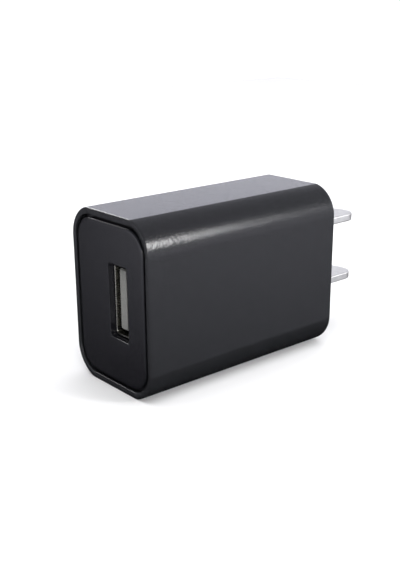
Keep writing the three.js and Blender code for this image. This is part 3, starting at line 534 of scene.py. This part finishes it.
def spring_windows():
    """The holes in the shell that the retention leaves are bent out of."""
    through, root_gap, gap = 0.6, 0.12, 0.35
    windows = []
    for low, high in SPRINGS.values():
        x = SHELL_LOW.x if low.x < PORT_X else SHELL_LOW.x + 2 * SHEET + PORT_THICK
        sides = (x - through, x + through, low.y - root_gap, high.y + gap, low.z - gap, high.z + gap)
        windows.append(block(*sides))
    return together(*windows)


def shell_legs():
    """The two legs that hold the shell in the board."""
    root_x, front, length = 4.0, SHELL_FRONT + 8.95, 1.4
    legs = []
    for side in (-1, 1):
        z = PORT_Z + side * (PORT_WIDE + SHEET) / 2
        legs.append(block(root_x, SHELL_HIGH.x, front, front + length, z - SHEET / 2, z + SHEET / 2))
    return together(*legs)


tube = raw_object("port_shell", port_tube())
carved(tube, ("DIFFERENCE", spring_windows()), ("UNION", shell_legs()))
placed(soften(smooth(tube)), PORT_STEEL, replaced=["usb_shell"])


def smoothed(line, count=6):
    """A Catmull-Rom curve through the points of a line."""
    points = [Vector(p) for p in line]
    points = [2 * points[0] - points[1], *points, 2 * points[-1] - points[-2]]
    curve = []
    for a, b, c, d in zip(points, points[1:], points[2:], points[3:]):
        for k in range(count):
            t = k / count
            square, cube = 2 * a - 5 * b + 4 * c - d, 3 * b - a - 3 * c + d
            curve.append((2 * b + (c - a) * t + square * t**2 + cube * t**3) / 2)
    return curve + [points[-2]]


def strip(name, line, sheet, z0, z1):
    """Bent sheet with its line in (x, y) and its width along Z."""
    curve = smoothed(line)
    left, right = [], []
    for i, point in enumerate(curve):
        along = (curve[min(i + 1, len(curve) - 1)] - curve[max(i - 1, 0)]).normalized()
        across = Vector((-along.y, along.x)) * sheet / 2
        left.append(point + across)
        right.append(point - across)
    outline = right + left[::-1]
    made = raw_object(name, loft([[(p.x, p.y, z) for p in outline] for z in (z0, z1)]))
    return soften(smooth(made), sheet / 5, 2)


def leaf_spring(body, low, high):
    wall, side = SHELL_LOW.x + SHEET / 2, -1
    if low.x > PORT_X:
        wall, side = SHELL_LOW.x + PORT_THICK + 1.5 * SHEET, 1
    line = [(wall - side * inwards, low.y + along) for inwards, along in LEAF_LINE]
    leaf = strip(f"port_{body}", line, SHEET, low.z, high.z)
    return placed(leaf, PORT_STEEL, body, [f"usb_{body}"])


def contact_beam(body, low, high):
    left = PORT_X - PORT_THICK / 2 + TONGUE_SIDE
    root_x, crest, root = left + CONTACT_ROOT, left + CONTACT_CREST, high.y
    line = [
        (root_x, root), (root_x + 0.15, root - 3), (crest - 0.1, root - 6.1),
        (crest, root - 6.7), (crest - 0.1, root - 7.1), (root_x + 0.2, root - 8.3),
    ]
    beam = strip(f"port_{body}", line, CONTACT_SHEET, low.z, high.z)
    return placed(beam, GOLD, body, [f"usb_{body}"])


for body, corners in SPRINGS.items():
    leaf_spring(body, *corners)
for body, corners in CONTACTS.items():
    contact_beam(body, *corners)


# ---- pieces kept from the CAD -----------------------------------------------------------------------

KEPT = {  # material slot: (finish, width of the rounded edge)
    "insulator": (TONGUE_WHITE_PAINTED_SHADE, 0.1),
    "contact_gold": (GOLD, 0.04),
    "bronze": (metal("spring_bronze", (0.48, 0.28, 0.13), (0.58, 0.36, 0.18), (0.30, 0.42)), 0.05),
    "ferrite": (moulded("ferrite", (0.028, 0.028, 0.030), (0.045, 0.044, 0.045), (0.6, 0.8), 0.12), 0.15),
    "bobbin": (moulded("phenolic", (0.018, 0.018, 0.020), (0.026, 0.026, 0.028), (0.4, 0.5)), 0.08),
    "copper": (
        metal("enamelled_wire", (0.42, 0.15, 0.05), (0.55, 0.24, 0.10), (0.22, 0.34), (8, 1, 8), 0.02, 0.2),
        0.05,
    ),
    "tape": (moulded("yellow_tape", (0.70, 0.42, 0.04), (0.80, 0.52, 0.07), (0.25, 0.35), 0.4), 0.03),
    "capacitor_sleeve": (
        moulded("shrink_sleeve", (0.012, 0.020, 0.050), (0.020, 0.032, 0.075), (0.28, 0.36), 0.5), 0.05
    ),
    "ceramic_blue": (moulded("dipped_blue", (0.03, 0.13, 0.36), (0.05, 0.19, 0.46), (0.2, 0.3), 0.8), 0.05),
    "resistor_body": (moulded("resistor_coat", (0.10, 0.24, 0.14), (0.14, 0.30, 0.18), (0.35, 0.45)), 0.05),
    "choke_sleeve": (moulded("choke_sleeve", (0.03, 0.10, 0.05), (0.05, 0.14, 0.07), (0.35, 0.45)), 0.05),
    "epoxy": (moulded("mould_epoxy", (0.010, 0.010, 0.011), (0.018, 0.018, 0.019), (0.5, 0.62), 0.1), 0.06),
    "chip_ceramic": (moulded("chip_ceramic", (0.55, 0.50, 0.40), (0.66, 0.60, 0.50), (0.4, 0.5), 0.1), 0.04),
    "board": (moulded("solder_mask", (0.015, 0.10, 0.035), (0.025, 0.15, 0.050), (0.25, 0.4), 0.6), 0.04),
    "film": (moulded("clear_film", (0.60, 0.56, 0.46), (0.68, 0.64, 0.54), (0.2, 0.3), 1.0), 0.04),
}
for subpart in frame["record"]["subparts"]:
    node = frame["nodes"][subpart["node"]]
    if node.hide_render:
        continue
    finish, edge = KEPT[subpart["material_slot"]]
    node.data.materials.clear()
    node.data.materials.append(finish)
    soften(node, edge, 2, angle=40, weld=True)


# ---- stage ------------------------------------------------------------------------------------------


def plane(name, centre, side):
    """A level square around centre, in metres."""
    corners = [
        Vector(centre) + Vector((a, b, 0)) * side / 2 for a, b in ((-1, -1), (1, -1), (1, 1), (-1, 1))
    ]
    mesh = bpy.data.meshes.new(name)
    mesh.from_pydata(corners, [], [(0, 1, 2, 3)])
    made = bpy.data.objects.new(name, mesh)
    bpy.context.scene.collection.objects.link(made)
    return made


FLOOR_SIDE = 0.9
floor = plane("floor", (0, 0, SLEEVE_LOW.z * MM), FLOOR_SIDE)
floor.visible_glossy = False
floor_paint = Surface("floor_paint", specular=0.1)
floor_paint.colour(floor_paint.noise(60), (0.86, 0.86, 0.86), (0.88, 0.88, 0.88))
floor_paint.roughness(floor_paint.noise(20), 0.8, 0.9)
floor.data.materials.append(floor_paint.material)


WALL, CEILING = 1.33, 0.34
FRONT_SHARE, RIGHT_SHARE = 0.15, 0.6  # how much of the wall's light is left at the front and on the right
PAPER_WHITE = 1.1
SKY_TINT = (1, 1, 1.12)


class Sky:
    """Builds the world's brightness from the direction that is looked in."""

    def __init__(self):
        self.world = bpy.data.worlds.new("studio")
        self.world.use_nodes = True
        self.tree = self.world.node_tree
        self.way = self.tree.nodes.new("ShaderNodeTexCoord").outputs["Generated"]

    def link(self, output, target):
        self.tree.links.new(output, target)

    def profile(self, axis, stops):
        """Brightness along a direction, from (-1 to 1, value) stops."""
        dot = self.tree.nodes.new("ShaderNodeVectorMath")
        dot.operation = "DOT_PRODUCT"
        dot.inputs[1].default_value = Vector(axis).normalized()
        self.link(self.way, dot.inputs[0])
        value = self.tree.nodes.new("ShaderNodeMapRange")
        value.inputs["From Min"].default_value = -1
        self.link(dot.outputs["Value"], value.inputs["Value"])
        ramp = self.tree.nodes.new("ShaderNodeValToRGB")
        elements = ramp.color_ramp.elements
        while len(elements) < len(stops):
            elements.new(0.5)
        for element, (place, brightness) in zip(elements, stops):
            element.position = (place + 1) / 2
            element.color = (brightness, brightness, brightness, 1)
        self.link(value.outputs["Result"], ramp.inputs["Fac"])
        return ramp.outputs["Color"]

    def combine(self, operation, first, second):
        node = self.tree.nodes.new("ShaderNodeMath")
        node.operation = operation
        self.link(first, node.inputs[0])
        self.link(second, node.inputs[1])
        return node.outputs["Value"]

    def finish(self, strength):
        """Light and mirror images come from the sky, but the camera itself sees plain white."""
        seen = self.tree.nodes.new("ShaderNodeMath")
        seen.operation = "MULTIPLY"
        seen.inputs[1].default_value = PAPER_WHITE
        self.link(self.tree.nodes.new("ShaderNodeLightPath").outputs["Is Camera Ray"], seen.inputs[0])
        strength = self.combine("MAXIMUM", strength, seen.outputs[0])
        background = self.tree.nodes["Background"]
        background.inputs["Color"].default_value = (*SKY_TINT, 1)
        self.link(strength, background.inputs["Strength"])
        bpy.context.scene.world = self.world


def studio():
    """The room that the charger mirrors: a bright wall low behind it, dim overhead, and a table."""
    up, back, left, right_front = (0, 0, 1), (0, 1, 0), (-1, 0, 0), (1, -1, 0)
    sky = Sky()
    wall = sky.profile(up, ((-0.02, 0), (0.01, WALL), (0.26, WALL), (0.42, 0.5), (0.66, CEILING)))
    behind = sky.profile(back, ((-0.3, FRONT_SHARE), (0.3, 1)))
    far_side = sky.profile(left, ((-0.75, RIGHT_SHARE), (0.3, 1)))
    table = sky.profile(
        up,
        (
            (-0.45, 0), (-0.4, 0.06), (-0.345, 0.38), (-0.305, 0.54), (-0.26, 0.82), (-0.2, 0.95),
            (-0.03, 1), (0, 0),
        ),
    )
    lit_side = sky.profile(
        right_front, ((-0.9, 0.04), (-0.26, 0.1), (-0.2, 0.26), (-0.146, 0.66), (-0.05, 1))
    )
    wall_light = sky.combine("MULTIPLY", sky.combine("MULTIPLY", wall, behind), far_side)
    table_light = sky.combine("MULTIPLY", table, lit_side)
    sky.finish(sky.combine("ADD", wall_light, table_light))


studio()

CENTRE = Vector((0, CAD_BOX[0].y / 2, 0))


def softbox(name, direction, distance, width, height, radiance, mirrored=True, lights=True):
    """An area light that faces the charger, and can be only a mirror image or only a light."""
    data = bpy.data.lights.new(name, "AREA")
    data.shape = "RECTANGLE"
    data.size, data.size_y = width, height
    data.energy = radiance * math.pi * width * height
    made = bpy.data.objects.new(name, data)
    bpy.context.scene.collection.objects.link(made)
    away = Vector(direction).normalized()
    made.location = CENTRE + away * distance
    made.rotation_euler = (-away).to_track_quat("-Z", "Y").to_euler()
    made.visible_camera = False
    made.visible_glossy = mirrored
    made.visible_diffuse = lights
    return made


# name, direction, distance, width, height, radiance
softbox("overhead", (0, 0, 1), 0.9, 1.6, 1.6, 2.3, mirrored=False)
softbox("back_right", (0.81, 0.46, 0.40), 0.5, 0.09, 0.14, 33)
softbox("left", (-0.81, 0.0, 0.55), 0.5, 0.3, 0.12, 18, lights=False)
softbox("front_right", (0.91, -0.37, 0.18), 0.5, 0.1, 0.1, 40)


# ---- camera -----------------------------------------------------------------------------------------

IMAGE_LONG_SIDE = 586
FOCAL_PIXELS = 870.3
AZIMUTH, ELEVATION, ROLL = math.radians(49.760), math.radians(18.528), math.radians(-0.359)
DISTANCE = 165.37
AIM = Vector((0, -19.9, 0.1))
SHIFT_RIGHT, SHIFT_UP = -3.675, -3.545  # in millimetres, of the whole camera and not of its lens

forward = Vector(
    (
        -math.sin(AZIMUTH) * math.cos(ELEVATION),
        math.cos(AZIMUTH) * math.cos(ELEVATION),
        -math.sin(ELEVATION),
    )
)
right = Vector((math.cos(AZIMUTH), math.sin(AZIMUTH), 0))
up = right.cross(forward)
eye = AIM + right * SHIFT_RIGHT + up * SHIFT_UP - forward * DISTANCE
tilted_right = math.cos(ROLL) * right + math.sin(ROLL) * up
tilted_up = -math.sin(ROLL) * right + math.cos(ROLL) * up

camera_data = bpy.data.cameras.new("camera")
camera_data.sensor_width = 36
camera_data.lens = FOCAL_PIXELS / IMAGE_LONG_SIDE * camera_data.sensor_width
camera_data.clip_start = 0.005
camera = bpy.data.objects.new("camera", camera_data)
turned = Matrix((tilted_right, tilted_up, -forward)).transposed().to_4x4()
camera.matrix_world = Matrix.Translation(eye * MM) @ turned
bpy.context.scene.collection.objects.link(camera)
bpy.context.scene.camera = camera
bpy.context.scene.view_settings.view_transform = "Standard"
